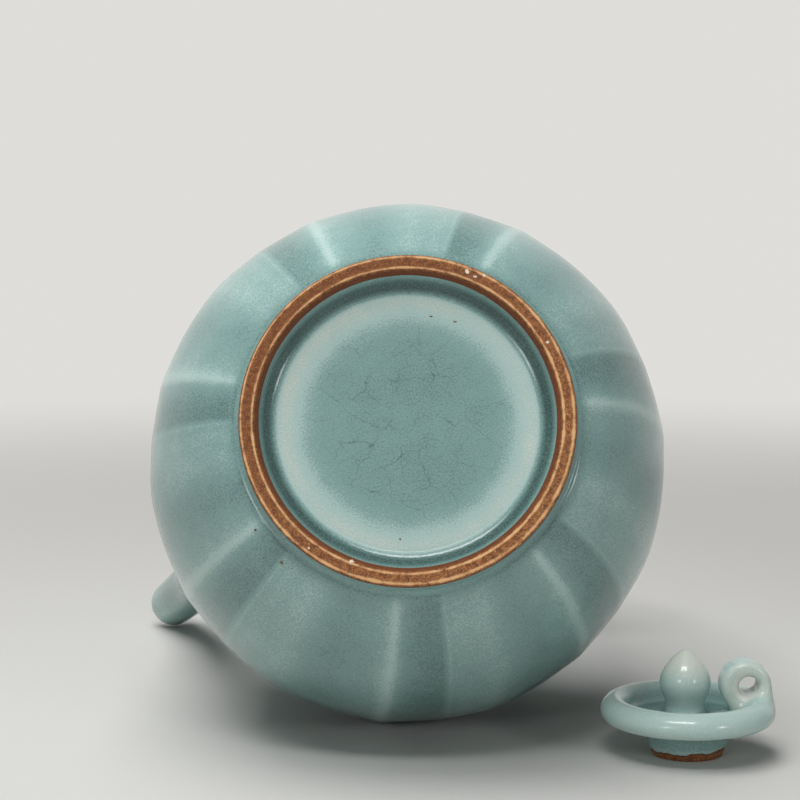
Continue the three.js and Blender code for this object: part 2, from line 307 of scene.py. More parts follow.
def grid_faces(rows, columns, closed):
    """Four-sided faces of a grid that wraps round, and whose last row joins its first if closed."""
    faces = []
    for i in range(rows if closed else rows - 1):
        here = i * columns
        there = (i + 1) % rows * columns
        for j in range(columns):
            k = (j + 1) % columns
            faces.append((here + j, here + k, there + k, there + j))
    return faces


def revolved(profile, columns, cut=None):
    """Form of revolution, with its points moved by a cut. A profile that starts and ends on the
    axis gets poles there."""
    poles = profile[0][0] == 0
    rings = profile[1:-1] if poles else profile
    azimuth = np.arange(columns) * 2 * np.pi / columns
    radius = np.repeat(rings[:, 0:1], columns, 1)
    height = np.repeat(rings[:, 1:2], columns, 1)
    azimuth = np.repeat(azimuth[None], len(rings), 0)
    if cut is not None:
        radius, azimuth = cut(radius, height, rings[:, 2:3])
    own = np.stack([radius * np.cos(azimuth), radius * np.sin(azimuth), height], 2).reshape(-1, 3)
    faces = grid_faces(len(rings), columns, not poles)
    if poles:
        count = len(own)
        own = np.vstack([own, [0, 0, profile[0][1]], [0, 0, profile[-1][1]]])
        last = (len(rings) - 1) * columns
        for j in range(columns):
            k = (j + 1) % columns
            faces.append((count, k, j))
            faces.append((count + 1, last + j, last + k))
    return own, faces


# A field is worked out at the middle of each block of grid points, and then again at every point
# of the blocks that lie near the surface
BLOCK = 4
BLOCK_REACH = 1.4
SETTLING_ROUNDS = 4
POINTS_AT_ONCE = 40000
CELL_CORNERS = [(i, j, k) for i in (0, 1) for j in (0, 1) for k in (0, 1)]
CELL_EDGES = [
    (a, b) for a in CELL_CORNERS for b in CELL_CORNERS
    if a < b and sum(np.abs(np.subtract(a, b))) == 1
]


def surface_net(field, low, high, step):
    """Closed mesh where a field of points is zero, with the field's negative side inside."""
    counts = np.ceil((np.array(high) - low) / step / BLOCK).astype(int) * BLOCK
    places = [low[k] + step * np.arange(counts[k]) for k in range(3)]
    middles = [place.reshape(-1, BLOCK).mean(1) for place in places]
    middles = np.stack(np.meshgrid(*middles, indexing="ij"), -1).reshape(-1, 3)
    rough = field(middles).reshape(counts // BLOCK)
    value = rough.repeat(BLOCK, 0).repeat(BLOCK, 1).repeat(BLOCK, 2)
    near = np.abs(value) < BLOCK * step * BLOCK_REACH
    where = np.argwhere(near)
    value[near] = field(np.stack([places[k][where[:, k]] for k in range(3)], 1))
    inside = value < 0

    def corner(array, offset):
        return array[tuple(slice(o, o + n - 1) for o, n in zip(offset, counts))]

    held = sum(corner(inside, c).astype(int) for c in CELL_CORNERS)
    active = (held > 0) & (held < 8)
    total = np.zeros(active.shape + (3,))
    crossings = np.zeros(active.shape)
    for a, b in CELL_EDGES:
        value_a, value_b = corner(value, a), corner(value, b)
        crossed = corner(inside, a) != corner(inside, b)
        share = np.where(crossed, value_a / np.where(crossed, value_a - value_b, 1), 0)
        for k in range(3):
            total[..., k] += np.where(crossed, a[k] + share * (b[k] - a[k]), 0)
        crossings += crossed
    number = np.cumsum(active.ravel()).reshape(active.shape) - 1
    cells = np.argwhere(active)
    own = np.array(low) + step * (cells + total[active] / crossings[active][:, None])
    faces = []
    for k in range(3):
        i, j = (k + 1) % 3, (k + 2) % 3
        ahead = [slice(None)] * 3
        ahead[k] = slice(1, None)
        behind = [slice(None)] * 3
        behind[k] = slice(None, -1)
        crossed = inside[tuple(ahead)] != inside[tuple(behind)]
        edges = np.argwhere(crossed)
        quad = []
        for back_i, back_j in ((1, 1), (0, 1), (0, 0), (1, 0)):
            cell = edges.copy()
            cell[:, i] -= back_i
            cell[:, j] -= back_j
            quad.append(number[tuple(cell.T)])
        quad = np.stack(quad, 1)
        outward = inside[tuple(edges.T)]
        quad[~outward] = quad[~outward][:, ::-1]
        faces.append(quad)
    for _ in range(SETTLING_ROUNDS):
        own = own - settle(field, own, step)
    return own, np.vstack(faces).tolist()


def settle(field, own, step):
    """Step that takes each point back to the surface, along the field's slope."""
    nudge = step / 10
    here = field(own)
    slope = np.stack([(field(own + nudge * axis) - here) / nudge for axis in np.eye(3)], 1)
    steep = np.clip((slope ** 2).sum(1), 0.05, None)
    move = slope * (here / steep)[:, None]
    length = np.linalg.norm(move, axis=1, keepdims=True)
    return move * np.minimum(1, step / 2 / np.maximum(length, 1e-9))


# The ewer's outside

flank = bezier(
    (FOOT_RADIUS + FOOT_JOIN, FOOT_HEIGHT),
    (FOOT_RADIUS + FOOT_JOIN + FLANK_RUN, FOOT_HEIGHT + FLANK_RISE),
    (BELLY_RADIUS, BELLY_HEIGHT - BELLY_FULLNESS),
    (BELLY_RADIUS, BELLY_HEIGHT), 60,
)
belly, waist = (BELLY_RADIUS, BELLY_HEIGHT), (WAIST_RADIUS, WAIST_HEIGHT)
upper_belly, neck = (UPPER_RADIUS, UPPER_HEIGHT), (NECK_RADIUS, NECK_HEIGHT)
shoulder = sway(belly, SHOULDER_FULLNESS, waist, WAIST_SOFTNESS, 72)
upper_side = np.vstack([
    sway(waist, WAIST_SOFTNESS, upper_belly, UPPER_FULLNESS_BELOW, 48),
    sway(upper_belly, UPPER_FULLNESS_ABOVE, neck, NECK_SOFTNESS, 36)[1:],
])
whole_side = np.vstack([flank, shoulder[1:], upper_side[1:]])


def edge_distance(place, kind):
    """Distance, in facets, to the nearest edge of one kind of the four in a lobe."""
    per_lobe = len(EDGE_HEIGHTS)
    return (place - kind + per_lobe / 2) % per_lobe - per_lobe / 2


def blurred(values, width):
    """Ring of values, smoothed over a number of columns."""
    frequency = np.fft.rfftfreq(len(values))
    passed = np.exp(-2 * (np.pi * frequency * width) ** 2)
    return np.fft.irfft(np.fft.rfft(values) * passed, len(values))


def facet_shares():
    """Share of the round radius at each column: flat cuts between edges, crisp at the sharp ones."""
    edge = np.floor(COLUMN_PLACES).astype(int)
    step = 2 * np.pi / EDGES
    angle = (COLUMN_PLACES - edge) * step
    heights = 1 + np.array(EDGE_HEIGHTS) / BELLY_RADIUS
    before, after = heights[edge % len(heights)], heights[(edge + 1) % len(heights)]
    flat = before * after * np.sin(step) / (after * np.sin(step - angle) + before * np.sin(angle))
    groove, ridge = edge_distance(COLUMN_PLACES, 0), edge_distance(COLUMN_PLACES, 1)
    sharp = np.maximum(hump(groove, 0.5), hump(ridge, 0.5))
    return mix(blurred(flat, SOFT_BLUR), blurred(flat, SHARP_BLUR), sharp)


SHARES = facet_shares()


def column_azimuths():
    """Azimuth of each column at the foot, in degrees, with the unevenness of cuts made by hand."""
    grooves = len(EDGE_HEIGHTS) * np.arange(LOBES)
    cuts = np.concatenate([grooves, grooves + 1])
    shift = np.interp(COLUMN_PLACES, cuts, GROOVE_SHIFTS + RIDGE_SHIFTS, period=EDGES)
    return COLUMN_PLACES * 360 / EDGES + shift + FACET_AZIMUTH


AZIMUTHS = column_azimuths()


def facet_lean(height):
    """How far the cuts have turned at a height, in degrees."""
    return FACET_TWIST * np.minimum(height / BELLY_HEIGHT, 1)


def cut_facets(radius, height, strength):
    return radius * mix(1, SHARES[None], strength), np.radians(AZIMUTHS + facet_lean(height[:, :1]))


def upright_azimuth(own):
    """Azimuth of each point with the lean of the cuts taken out, in degrees."""
    return np.degrees(np.arctan2(own[:, 1], own[:, 0])) - facet_lean(own[:, 2])


def facet_place(own):
    """Place of each point round the ewer, counted in facets."""
    turns = np.concatenate([AZIMUTHS + turn * 360 for turn in (-1, 0, 1)])
    places = np.concatenate([COLUMN_PLACES + turn * EDGES for turn in (-1, 0, 1)])
    return np.interp(upright_azimuth(own), turns, places)


def steepness(side, height, least_rise):
    """How much longer a step straight out from a side is than the distance from it."""
    slope = np.gradient(side[:, 0]) / np.maximum(np.gradient(side[:, 1]), least_rise)
    return np.sqrt(1 + np.interp(height, side[:, 1], slope) ** 2)


def ewer_field(own):
    """Distance from the ewer's faceted outside, close to true near it."""
    share = np.interp(upright_azimuth(own), AZIMUTHS, SHARES, period=360)
    outside = np.interp(own[:, 2], whole_side[:, 1], whole_side[:, 0]) * share
    return (np.hypot(own[:, 0], own[:, 1]) - outside) / steepness(whole_side, own[:, 2], 1e-3)


def with_strength(points, strength):
    """Profile with the strength of the facets at each point as its third column."""
    return np.column_stack([points, np.broadcast_to(strength, len(points))])


def facet_strength(height):
    """The facets run out at the top of the upper bulb."""
    return 1 - smooth_step(*FACETS_FADE, height)


def glaze_on_bulbs(place, height):
    """Thick glaze beside sharp ridges, in faint grooves and at the waist, thin glaze on the edges."""
    fade = mix(0.35, 1, smooth_step(FOOT_HEIGHT, FOOT_HEIGHT + 1.6, height))
    fade = fade * mix(1, 0.6, smooth_step(75, 120, height)) * facet_strength(height)
    at_waist = 0.3 * hump(height - WAIST_HEIGHT - 2, 10)
    groove, ridge, faint_groove, soft_ridge = (edge_distance(place, kind) for kind in range(4))
    before_ridge = smooth_step(-1.05, -0.95, ridge) * (1 - smooth_step(-0.3, 0.0, ridge))
    pooled = before_ridge * mix(0.35, 1.0, -ridge)
    bright = 0.4 * hump(ridge, 0.1) + 0.34 * hump(ridge, 0.3) + 0.2 * hump(ridge - 0.5, 0.6)
    soft = 0.4 * hump(soft_ridge, 0.5)
    faint = 0.15 * hump(faint_groove, 0.5)
    before_groove = 0.25 * hump(groove + 0.3, 0.3)
    step_edge = 0.2 * hump(groove + 0.06, 0.06)
    facets = 0.36 * pooled + faint - bright - soft - before_groove - step_edge
    return 0.12 + at_waist + fade * facets


def glaze_luted(own, thick):
    """Glaze of a luted piece, which passes into the bulb's own glaze where its clay runs out."""
    below = glaze_on_bulbs(facet_place(own), own[:, 2])
    return mix(below, thick, smooth_step(0.2, 4.0, ewer_field(own)))


# Nodes of the materials and the world

class Graph:
    """Short way to write the nodes of a material or a world, whose inputs take values or sockets."""

    def __init__(self, owner):
        owner.use_nodes = True
        self.owner = owner
        self.tree = owner.node_tree

    def set(self, node, inputs):
        for key, value in inputs.items():
            socket = node.inputs[key]
            if isinstance(value, bpy.types.NodeSocket):
                self.tree.links.new(value, socket)
            else:
                socket.default_value = value

    def add(self, kind, inputs=None, **settings):
        node = self.tree.nodes.new("ShaderNode" + kind)
        for key, value in settings.items():
            setattr(node, key, value)
        self.set(node, inputs or {})
        return node

    def math(self, operation, a, b=0.0, c=0.0):
        return self.add("Math", {0: a, 1: b, 2: c}, operation=operation).outputs[0]

    def ramp(self, value, stops):
        node = self.add("ValToRGB", {0: value})
        node.color_ramp.interpolation = "EASE"
        elements = node.color_ramp.elements
        while len(elements) < len(stops):
            elements.new(0.5)
        for element, (position, colour) in zip(elements, stops):
            element.position = position
            element.color = (*colour, 1)
        return node.outputs[0]

    def remap(self, value, low, high, to_low=0.0, to_high=1.0, smooth=False):
        inputs = {"Value": value, "From Min": low, "From Max": high, "To Min": to_low, "To Max": to_high}
        kind = "SMOOTHSTEP" if smooth else "LINEAR"
        return self.add("MapRange", inputs, interpolation_type=kind).outputs[0]

    def noise(self, vector, size, detail=2.0, roughness=0.5):
        inputs = {"Vector": vector, "Scale": 1 / size, "Detail": detail, "Roughness": roughness}
        return self.add("TexNoise", inputs).outputs

    def bent(self, vector, size, detail, roughness, reach):
        """Place that noise moves to and fro, by up to half the reach."""
        drift = self.noise(vector, size, detail, roughness)["Color"]
        drift = self.add("VectorMath", {0: drift, 1: (0.5, 0.5, 0.5)}, operation="SUBTRACT").outputs[0]
        moved = {0: drift, 1: (reach, reach, reach), 2: vector}
        return self.add("VectorMath", moved, operation="MULTIPLY_ADD").outputs[0]

    def mixed(self, share, a, b):
        """Mix of two colours, each a socket or three numbers."""
        colours = [c if isinstance(c, bpy.types.NodeSocket) else (*c, 1) for c in (a, b)]
        return self.add("Mix", {0: share, 6: colours[0], 7: colours[1]}, data_type="RGBA").outputs[2]

    def attribute(self, name):
        return self.add("Attribute", attribute_name=name).outputs


def srgb(*levels):
    """Linear colour of a screen colour given as three levels up to 255."""
    return tuple(((v / 255 + 0.055) / 1.055) ** 2.4 for v in levels)


DEEP_GLAZE = srgb(54, 82, 79)
DARK_GLAZE = srgb(90, 121, 117)
MID_GLAZE = srgb(127, 160, 156)
PALE_GLAZE = srgb(170, 197, 192)
THIN_GLAZE = srgb(208, 213, 203)
CRACK = srgb(58, 82, 79)
SPECK = srgb(104, 74, 44)
CLAY_DARK = srgb(108, 62, 32)
CLAY = srgb(172, 112, 64)
CLAY_TAN = srgb(236, 186, 132)
CLAY_BURNT = srgb(98, 48, 18)
CHIP = srgb(232, 222, 200)

GLAZE_IOR = 1.52
MOTTLE_LEVEL = 1.1

# Coarse and fine cracks: the size of a cell, the share of it that the line takes, and the strength
CRACKS = ((10.0, 0.014, 0.6), (5.2, 0.022, 0.35))

# Iron specks in the glaze of the base and the flank, and chips on the face of the foot
SPECKS = (
    (32.0, 297.6, 7.0, 0.42), (32.6, 309.8, 7.0, 0.5), (33.2, 109.4, 7.0, 0.55),
    (52.4, 160.2, 8.6, 0.5), (53.0, 147.3, 8.7, 0.7), (52.6, 143.5, 8.6, 0.45),
)
CHIPS = (
    (45.8, 307.0, 0.0, 0.7), (45.2, 310.5, 0.0, 0.6), (46.6, 313.0, 0.1, 0.5), (45.0, 346.2, 0.0, 0.6),
    (42.9, 126.7, 0.3, 0.8), (45.9, 142.0, 0.0, 0.4),
)


def spotted(g, colour, spots, tint):
    """Small uneven spots: each has a radius, azimuth and height on the upright ewer, and a size."""
    own = g.attribute("own")["Vector"]
    bent = g.bent(own, size=0.9, detail=2.0, roughness=0.5, reach=1.6)
    for radius, azimuth, height, size in spots:
        turn = math.radians(azimuth)
        spot = (radius * math.cos(turn), radius * math.sin(turn), height)
        away = g.add("VectorMath", {0: bent, 1: spot}, operation="DISTANCE").outputs["Value"]
        colour = g.mixed(g.remap(away, size * 0.6, size, 1.0, 0.0, smooth=True), colour, tint)
    return colour


def glaze_layer(g, crackle, mottle):
    """Colour, roughness and height in millimetres of the celadon glaze, cracked and mottled."""
    own = g.attribute("own")["Vector"]
    # The thickness value also carries painted shade at the join of foot and flank, in the fillet under
    # the foot and on the floor of the lid's dish.
    thick = g.attribute("thick")["Fac"]
    crazed = g.attribute("crazed")["Fac"]
    cloud = g.noise(own, size=22.0, detail=3.0)["Fac"]
    patch = g.noise(own, size=5.5, detail=4.0, roughness=0.6)["Fac"]
    grain = g.noise(own, size=0.5, detail=3.0, roughness=0.7)["Fac"]
    level = g.math("MULTIPLY_ADD", cloud, 0.4, thick)
    level = g.math("MULTIPLY_ADD", patch, 0.2, level)
    level = g.math("ADD", level, MOTTLE_LEVEL - mottle / 2)
    level = g.math("MULTIPLY_ADD", grain, mottle, level)
    level = g.remap(level, 0.0, 2.8)
    colour = g.ramp(level, [
        (0.0, THIN_GLAZE), (0.25, PALE_GLAZE), (0.5, MID_GLAZE), (0.75, DARK_GLAZE), (1.0, DEEP_GLAZE),
    ])
    bent = g.bent(own, size=4.5, detail=3.0, roughness=0.6, reach=3.4)
    lines = None
    for size, width, strength in CRACKS:
        cells = g.add("TexVoronoi", {"Vector": bent, "Scale": 1 / size}, feature="DISTANCE_TO_EDGE")
        line = g.remap(cells.outputs["Distance"], 0.0, width, strength, 0.0, smooth=True)
        lines = line if lines is None else g.math("MAXIMUM", lines, line)
    broken = g.noise(own, size=6.0, detail=2.0)["Fac"]
    broken = g.remap(broken, 0.36, 0.62, 0.3, 1.0, smooth=True)
    crack = g.math("MULTIPLY", g.math("MULTIPLY", lines, broken), g.math("MULTIPLY", crazed, crackle))
    colour = g.mixed(crack, colour, CRACK)
    colour = spotted(g, colour, SPECKS, SPECK)
    roughness = g.math("MULTIPLY_ADD", patch, 0.12, 0.1)
    height = g.math("MULTIPLY_ADD", grain, 0.012, g.math("MULTIPLY", patch, 0.05))
    return colour, roughness, height


def clay_layer(g):
    """Colour, roughness and height in millimetres of the bare clay, stained and worn at its edges."""
    own = g.attribute("own")["Vector"]
    worn = g.attribute("worn")["Fac"]
    burnt = g.attribute("burnt")["Fac"]
    stain = g.noise(own, size=1.6, detail=5.0, roughness=0.7)["Fac"]
    grain = g.noise(own, size=0.45, detail=4.0, roughness=0.75)["Fac"]
    rubbed = g.noise(own, size=5.0, detail=4.0, roughness=0.7)["Fac"]
    colour = g.mixed(g.remap(stain, 0.42, 0.6), CLAY, CLAY_DARK)
    colour = g.mixed(g.remap(grain, 0.5, 0.6, 0.0, 0.8), colour, CLAY_DARK)
    colour = g.mixed(g.remap(grain, 0.43, 0.34, 0.0, 0.7), colour, CLAY_TAN)
    uneven = g.math("MULTIPLY_ADD", grain, 1.2, g.math("SUBTRACT", worn, 1.75))
    uneven = g.math("MULTIPLY_ADD", rubbed, 2.0, uneven)
    colour = g.mixed(g.remap(uneven, 0.2, 0.85, 0.0, 0.9, smooth=True), colour, CLAY_TAN)
    # Burnt clay darkens the colour; at the foot's outer edge this darkening is also painted shade.
    colour = g.mixed(burnt, colour, CLAY_BURNT)
    colour = spotted(g, colour, CHIPS, CHIP)
    roughness = g.remap(grain, 0.3, 0.7, 0.62, 0.85)
    height = g.math("MULTIPLY_ADD", grain, 0.22, g.math("MULTIPLY", stain, 0.2))
    return colour, roughness, height


def finish_shader(g, colour, roughness, height):
    normal = g.add("Bump", {"Height": height, "Distance": MM, "Strength": 1.0}).outputs[0]
    surface = {"Base Color": colour, "Roughness": roughness, "Normal": normal, "IOR": GLAZE_IOR}
    g.set(g.tree.nodes["Principled BSDF"], surface)
    return g.owner


def glaze_material(name, crackle, mottle):
    g = Graph(bpy.data.materials.new(name))
    return finish_shader(g, *glaze_layer(g, crackle, mottle))


def part_glazed_material(name):
    """Glaze that ends at an uneven line, with bare clay below it."""
    g = Graph(bpy.data.materials.new(name))
    glaze_colour, glaze_roughness, glaze_height = glaze_layer(g, crackle=0.3, mottle=1.6)
    clay_colour, clay_roughness, clay_height = clay_layer(g)
    own = g.attribute("own")["Vector"]
    wave = g.noise(own, size=7.0, detail=3.0, roughness=0.55)["Fac"]
    below = g.math("MULTIPLY_ADD", wave, g.attribute("wavy")["Fac"], g.attribute("line")["Fac"])
    height = g.add("SeparateXYZ", {0: own}).outputs["Z"]
    over = g.math("SUBTRACT", height, below)
    glazed = g.remap(over, -0.06, 0.06, smooth=True)
    edge = g.remap(g.math("ABSOLUTE", over), 0.1, 0.42, 0.85, 0.0, smooth=True)
    colour = g.mixed(glazed, clay_colour, glaze_colour)
    colour = g.mixed(edge, colour, CLAY_BURNT)
    bare = g.math("SUBTRACT", 1.0, glazed)
    roughness = g.math("MULTIPLY_ADD", glazed, glaze_roughness, g.math("MULTIPLY", bare, clay_roughness))
    bump = g.math("MULTIPLY", bare, clay_height)
    bump = g.math("MULTIPLY_ADD", glazed, g.math("ADD", 0.25, glaze_height), bump)
    return finish_shader(g, colour, roughness, bump)


BODY_GLAZE = glaze_material("celadon_on_body", crackle=0.9, mottle=1.75)
LID_GLAZE = glaze_material("celadon_on_lid", crackle=0.12, mottle=1.1)
PART_GLAZED = part_glazed_material("glaze_and_bare_clay")


# Pieces of the ewer

# Glaze under the foot by radius: the dark band in the fillet is pooled glaze together with painted shade
# in that recess.
BASE_RADII = (0, 14, 24, 28.5, 31.5, 34.5, 36.8, 37.8, 39.2, 40.6, 41.5, 41.9)
BASE_GLAZE_AND_SHADE = (0.2, 0.2, 0.1, -0.2, -0.65, -1.0, -0.9, 0.05, 1.2, 1.1, 0.2, -0.4)


def base_glaze_and_shade(radius):
    """Glaze of the recess under the foot: thin in a ring at its edge, and darker in the fillet, where
    pooled glaze and painted shade are laid together.
    """
    return np.interp(radius, BASE_RADII, BASE_GLAZE_AND_SHADE)


def make_foot_ring():
    fillet_centre = (FOOT_HOLE_RADIUS - FOOT_FILLET, FOOT_HEIGHT - FOOT_FILLET)
    join_centre = (FOOT_RADIUS + FOOT_JOIN, FOOT_HEIGHT - FOOT_JOIN)
    outer_turn = (FOOT_RADIUS - FOOT_CHAMFER, FOOT_CHAMFER)
    hidden_height = FOOT_HEIGHT + FOOT_HIDDEN
    profile = np.vstack([
        [(fillet_centre[0] - 0.6, hidden_height)],
        arc(fillet_centre, FOOT_FILLET, 90, 0, 20),
        straight((FOOT_HOLE_RADIUS, FOOT_BEVEL + 0.1), (FOOT_HOLE_RADIUS + FOOT_BEVEL, 0.12), 6),
        straight((FOOT_HOLE_RADIUS + FOOT_BEVEL + 0.2, 0.0), (outer_turn[0] - 0.2, 0.0), 8),
        arc(outer_turn, FOOT_CHAMFER, -80, 0, 6),
        straight((FOOT_RADIUS, FOOT_CHAMFER + 0.5), (FOOT_RADIUS, FOOT_HEIGHT - FOOT_JOIN - 0.5), 5),
        arc(join_centre, FOOT_JOIN, 180, 90, 8),
        [(join_centre[0] - 0.5, hidden_height)],
    ])
    own, faces = revolved(profile, FOOT_COLUMNS)
    radius, height = np.hypot(own[:, 0], own[:, 1]), own[:, 2]
    azimuth = np.arctan2(own[:, 1], own[:, 0])
    waves = ((5, 1, 0.025), (11, 0, 0.02), (23, 2, 0.015))
    uneven = sum(size * np.sin(count * azimuth + shift) for count, shift, size in waves)
    slant = 0.045 * (1 + np.cos(azimuth - math.radians(FACE_SLANT_AZIMUTH)))
    own[:, 2] += (1 - smooth_step(0, 2, height)) * (uneven + slant)
    outside = smooth_step(44, 46, radius)
    # Outside the foot the glaze is thin near its lower edge and darker at the join with the flank, where
    # pooled glaze and painted shade in the crease are laid together.
    glaze_and_join_shade_outside = 0.15 * hump(height - 6.6, 1.6) - 0.3 * hump(height - 1.2, 0.9)
    mild = 0.5 + 0.5 * np.cos(azimuth - math.radians(WORN_AZIMUTH))
    inner_line = hump(radius - 43.75, 0.34 + 0.12 * mild)
    outer_line = 0.9 * hump(radius - 46.9 + 0.4 * mild, 0.34 + 0.25 * mild)
    inner_stain = 0.85 * (1 - smooth_step(42.8, 43.4, radius))
    # The outer edge of the foot is darkened as burnt clay together with painted shade where the edge
    # turns away.
    outer_burn_and_shade = 0.8 * smooth_step(47.15, 47.45, radius)
    face_stain = 0.5 * (1 - mild) * smooth_step(43.8, 44.3, radius) * (1 - smooth_step(46, 46.8, radius))
    values = {
        "thick": np.where(outside > 0.5, glaze_and_join_shade_outside, base_glaze_and_shade(radius)),
        "crazed": 0.05,
        "worn": np.maximum(inner_line, outer_line),
        "burnt": inner_stain + outer_burn_and_shade + face_stain,
        "line": mix(1.35, 0.75, outside),
        "wavy": 0.5,
    }
    return make_piece("ewer_foot_ring", own, faces, EWER, values, PART_GLAZED,
                      "bare_clay", "ewer", "foot_ring")


def make_lower_bulb():
    inside = np.vstack([
        shoulder[::-6] - (WALL, 0),
        bezier(
            (BELLY_RADIUS - WALL, BELLY_HEIGHT),
            (BELLY_RADIUS - WALL, BELLY_HEIGHT - BELLY_FULLNESS),
            (FOOT_RADIUS + FLANK_RUN, FLOOR_TOP + FLANK_RISE),
            (FOOT_RADIUS - WALL, FLOOR_TOP), 12,
        )[1:],
        [(FOOT_RADIUS / 2, FLOOR_TOP), (0, FLOOR_TOP)],
    ])
    fillet_start = FOOT_HOLE_RADIUS - FOOT_FILLET
    profile = np.vstack([
        with_strength(straight((0, FOOT_HEIGHT), (fillet_start, FOOT_HEIGHT), 26), 0),
        with_strength(straight((fillet_start + 4, FOOT_HEIGHT), (FOOT_RADIUS, FOOT_HEIGHT), 2), 0),
        with_strength(flank, 1),
        with_strength(shoulder[1:], 1),
        with_strength(inside, 0),
    ])
    own, faces = revolved(profile, COLUMNS, cut_facets)
    radius, height = np.hypot(own[:, 0], own[:, 1]), own[:, 2]
    place = np.append(np.tile(COLUMN_PLACES, len(profile) - 2), [0, 0])
    under = (height < FOOT_HEIGHT + 0.01) & (radius < FOOT_HOLE_RADIUS)
    # Darker glaze in a ring where the flank meets the foot: pooled glaze together with painted shade in
    # the crease.
    pooled_and_shaded_at_foot = 0.25 * hump(radius - FOOT_RADIUS - FOOT_JOIN, 0.8) * (height < 12)
    values = {
        "thick": np.where(under, base_glaze_and_shade(radius), glaze_on_bulbs(place, height) + pooled_and_shaded_at_foot),
        "crazed": np.where(under, 1 - 0.85 * smooth_step(20, 34, radius), 0.22),
    }
    return make_piece("ewer_lower_bulb", own, faces, EWER, values, BODY_GLAZE,
                      "celadon_glaze", "ewer", "lower_bulb")


def make_upper_bulb():
    inner = np.column_stack([np.maximum(upper_side[:, 0] - WALL, MOUTH_BORE), upper_side[:, 1]])[::-4]
    profile = np.vstack([
        with_strength(upper_side, facet_strength(upper_side[:, 1])),
        with_strength(inner, 0),
    ])
    own, faces = revolved(profile, COLUMNS, cut_facets)
    place = np.tile(COLUMN_PLACES, len(profile))
    values = {"thick": glaze_on_bulbs(place, own[:, 2]), "crazed": 0.22}
    return make_piece("ewer_upper_bulb", own, faces, EWER, values, BODY_GLAZE,
                      "celadon_glaze", "ewer", "upper_bulb")


def make_mouth():
    lip_centre = (LIP_RADIUS - LIP_THICKNESS / 2, MOUTH_HEIGHT - LIP_THICKNESS / 2)
    neck_top = NECK_HEIGHT + NECK_SOFTNESS / 2
    profile = np.vstack([
        straight((NECK_RADIUS, NECK_HEIGHT), (NECK_RADIUS, neck_top), 6),
        bezier((NECK_RADIUS, neck_top), (NECK_RADIUS, neck_top + 2.5),
               (LIP_RADIUS - 1.2, MOUTH_HEIGHT - LIP_THICKNESS - 1.6),
               (LIP_RADIUS - 0.45, MOUTH_HEIGHT - LIP_THICKNESS + 0.45), 8)[1:],
        arc(lip_centre, LIP_THICKNESS / 2, -25, 100, 12),
        arc((MOUTH_BORE + 1.3, MOUTH_HEIGHT - 1.5), 1.3, 80, 180, 8),
        straight((MOUTH_BORE, MOUTH_HEIGHT - 3), (MOUTH_BORE, NECK_HEIGHT), 6),
    ])
    own, faces = revolved(profile, MOUTH_COLUMNS)
    lip = hump(own[:, 2] - MOUTH_HEIGHT, 1.6)
    values = {"thick": 0.12 - 0.9 * lip + 0.3 * hump(own[:, 2] - neck_top - 3, 3.5), "crazed": 0.1}
    return make_piece("ewer_mouth", own, faces, EWER, values, BODY_GLAZE,
                      "celadon_glaze", "ewer", "mouth_neck")


def even_samples(curve):
    """Points spaced evenly along a flat curve, their directions and its length."""
    lengths = np.append(0, np.cumsum(np.linalg.norm(np.diff(curve, axis=0), axis=1)))
    reached = np.linspace(0, 1, CURVE_SAMPLES) * lengths[-1]
    points = np.stack([np.interp(reached, lengths, curve[:, k]) for k in range(2)], 1)
    along = np.gradient(points, axis=0)
    along /= np.linalg.norm(along, axis=1, keepdims=True)
    return points, along, lengths[-1]


def beside_curve(own, samples, side=1):
    """Share along a curve in the XZ plane, and the offset out from it, of each point. A side of -1
    has the curve on the side of -X."""
    points, along, length = samples
    flat = np.stack([own[:, 0] * side, own[:, 2]], 1)
    nearest = np.empty(len(flat), int)
    for start in range(0, len(flat), POINTS_AT_ONCE):
        part = flat[start:start + POINTS_AT_ONCE].astype(np.float32)
        away = ((part[:, None] - points[None].astype(np.float32)) ** 2).sum(2)
        nearest[start:start + POINTS_AT_ONCE] = away.argmin(1)
    gap = flat - points[nearest]
    tangent = along[nearest]
    forward = (gap * tangent).sum(1)
    outward = gap[:, 0] * tangent[:, 1] - gap[:, 1] * tangent[:, 0]
    share = nearest / (len(points) - 1) + forward / length
    return share, outward


def spout_curve():
    """Smooth line through the spout's places, out of the shoulder and out again at the tip."""
    rise = SPOUT_TIP[1] - SPOUT_ROOT[1]
    knots = np.array([
        (SPOUT_ROOT[0] - SPOUT_ROOT_DEPTH, SPOUT_ROOT[1] - SPOUT_ROOT_DEPTH),
        SPOUT_ROOT,
        (SPOUT_BOW - SPOUT_BOW_LEAN, SPOUT_ROOT[1] + rise * 0.3),
        (SPOUT_BOW + SPOUT_BOW_LEAN, SPOUT_ROOT[1] + rise * 0.65),
        SPOUT_TIP,
    ])
    padded = np.vstack([knots[:1], knots, knots[-1:]])
    t = np.linspace(0, 1, 60)[:, None]
    stretches = []
    for i in range(len(knots) - 1):
        a, b, c, d = padded[i:i + 4]
        v, w = (c - a) / 2, (d - b) / 2
        cubic, square = 2 * b - 2 * c + v + w, 3 * c - 3 * b - 2 * v - w
        stretches.append(cubic * t ** 3 + square * t ** 2 + v * t + b)
    return even_samples(np.vstack([stretches[0]] + [s[1:] for s in stretches[1:]]))


SPOUT_SAMPLES = spout_curve()
HANDLE_BOW = (8 * HANDLE_REACH - HANDLE_ROOT[0] - HANDLE_END[0]) / 6
HANDLE_SAMPLES = even_samples(bezier(
    HANDLE_ROOT, (HANDLE_BOW, HANDLE_ROOT[1] + HANDLE_FLARE_BELOW),
    (HANDLE_BOW, HANDLE_END[1] + HANDLE_FLARE_ABOVE), HANDLE_END, 400))


